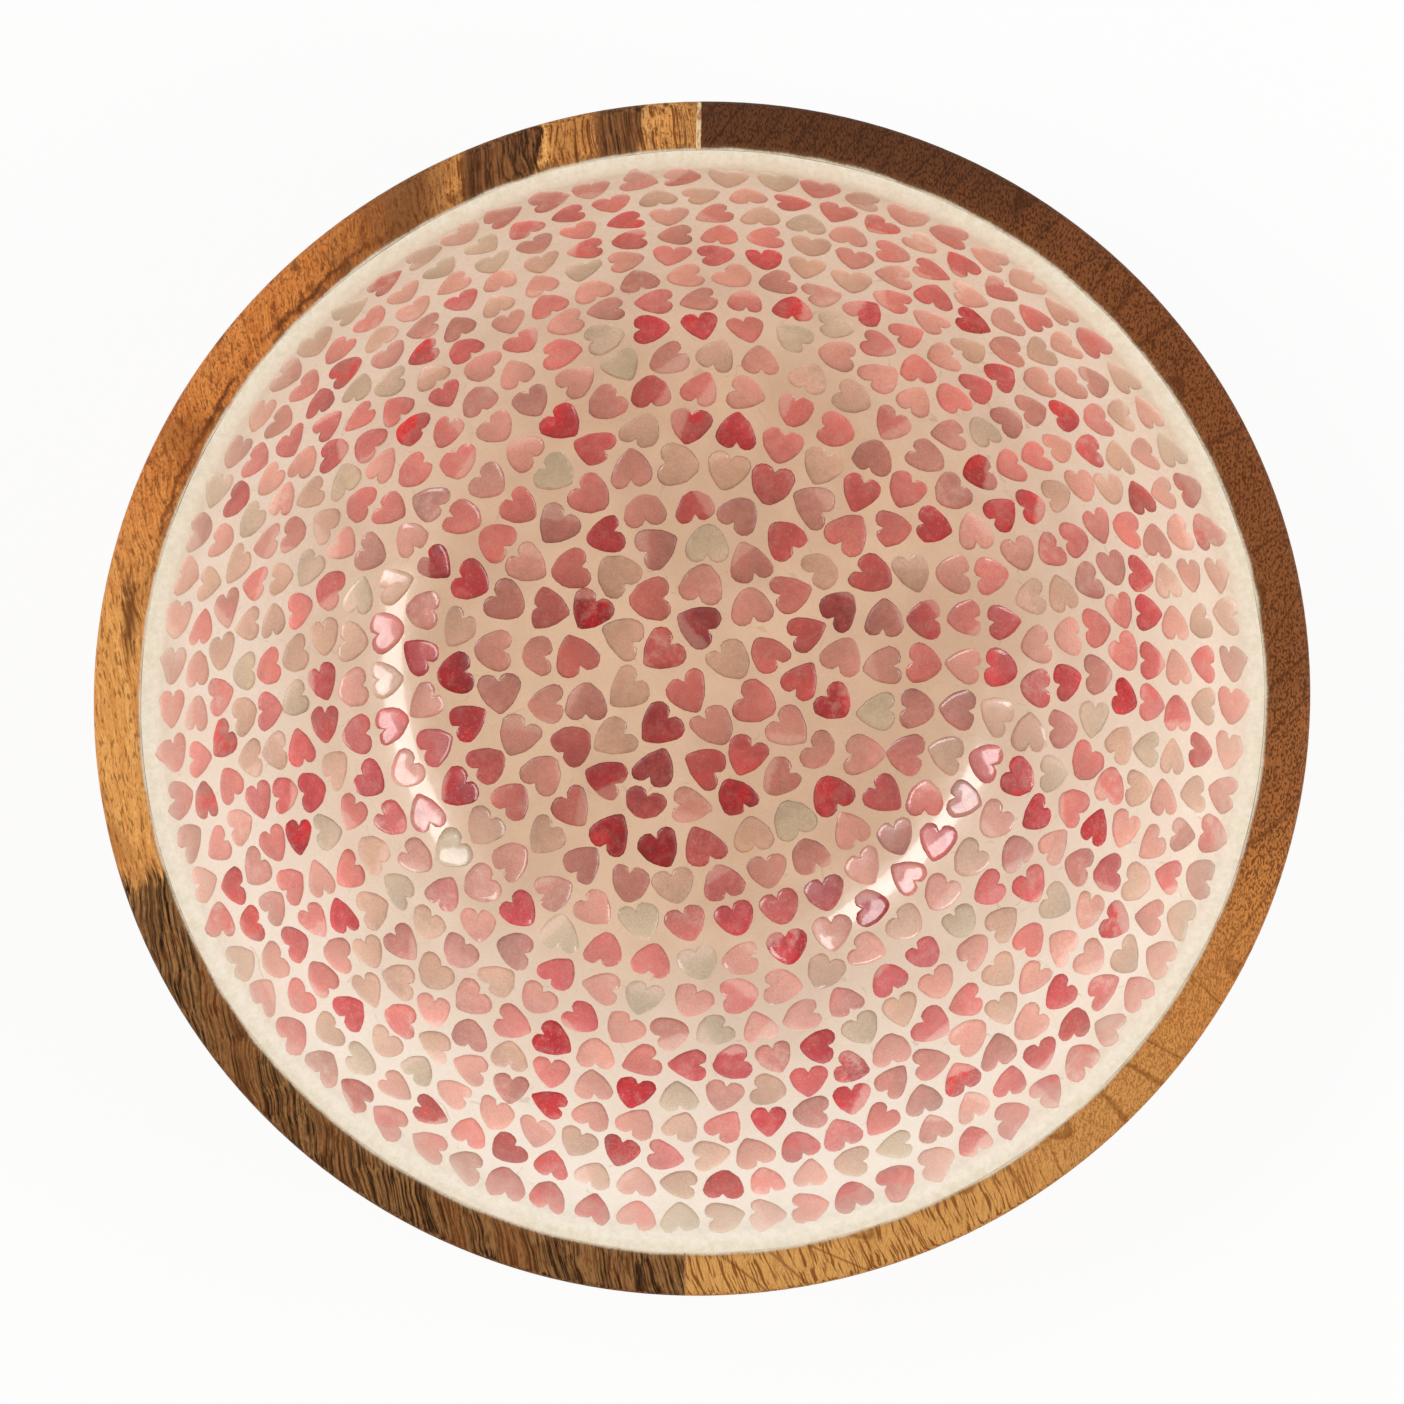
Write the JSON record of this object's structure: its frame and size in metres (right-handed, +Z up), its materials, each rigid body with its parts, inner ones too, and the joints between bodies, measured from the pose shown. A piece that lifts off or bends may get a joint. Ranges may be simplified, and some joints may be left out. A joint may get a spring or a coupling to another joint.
{
  "type": "mosaic bowl",
  "caption": "Round open wooden bowl with a flat foot, lined with cream resin and inlaid heart-shaped shell tiles, for fruit, snacks or small things.",
  "frame": {"origin": "centre of the flat foot, on the table", "axes": "+Z up along the bowl's axis; the glued seam runs nearly along Y, with its wide end at +Y"},
  "size_m": [0.25, 0.25, 0.072],
  "materials": {
    "wood_left": "satin oiled, orange and brown banded grain",
    "wood_right": "satin oiled, dark brown grain with flecks",
    "glue": "matt filler",
    "resin": "glossy cream resin",
    "shell_crimson": "glossy lacquered shell",
    "shell_ruby": "glossy lacquered shell",
    "shell_rose": "glossy lacquered shell",
    "shell_coral": "glossy lacquered shell",
    "shell_mauve": "glossy lacquered shell",
    "shell_blush": "glossy lacquered shell",
    "shell_sand": "glossy lacquered shell",
    "shell_pearl": "glossy lacquered shell"
  },
  "bodies": {
    "root": {"wood_half_left": "wood_left", "wood_half_right": "wood_right", "glue_seam": "glue", "resin_lining": "resin", "hearts_crimson_floor": "shell_crimson", "hearts_ruby_floor": "shell_ruby", "hearts_rose_floor": "shell_rose", "hearts_coral_floor": "shell_coral", "hearts_mauve_floor": "shell_mauve", "hearts_blush_floor": "shell_blush", "hearts_sand_floor": "shell_sand", "hearts_pearl_floor": "shell_pearl", "hearts_crimson_curve": "shell_crimson", "hearts_ruby_curve": "shell_ruby", "hearts_rose_curve": "shell_rose", "hearts_coral_curve": "shell_coral", "hearts_mauve_curve": "shell_mauve", "hearts_blush_curve": "shell_blush", "hearts_sand_curve": "shell_sand", "hearts_pearl_curve": "shell_pearl", "hearts_crimson_wall": "shell_crimson", "hearts_ruby_wall": "shell_ruby", "hearts_rose_wall": "shell_rose", "hearts_coral_wall": "shell_coral", "hearts_mauve_wall": "shell_mauve", "hearts_blush_wall": "shell_blush", "hearts_sand_wall": "shell_sand", "hearts_pearl_wall": "shell_pearl", "hearts_crimson_rim": "shell_crimson", "hearts_ruby_rim": "shell_ruby", "hearts_rose_rim": "shell_rose", "hearts_coral_rim": "shell_coral", "hearts_mauve_rim": "shell_mauve", "hearts_blush_rim": "shell_blush", "hearts_sand_rim": "shell_sand", "hearts_pearl_rim": "shell_pearl"}
  },
  "joints": []
}
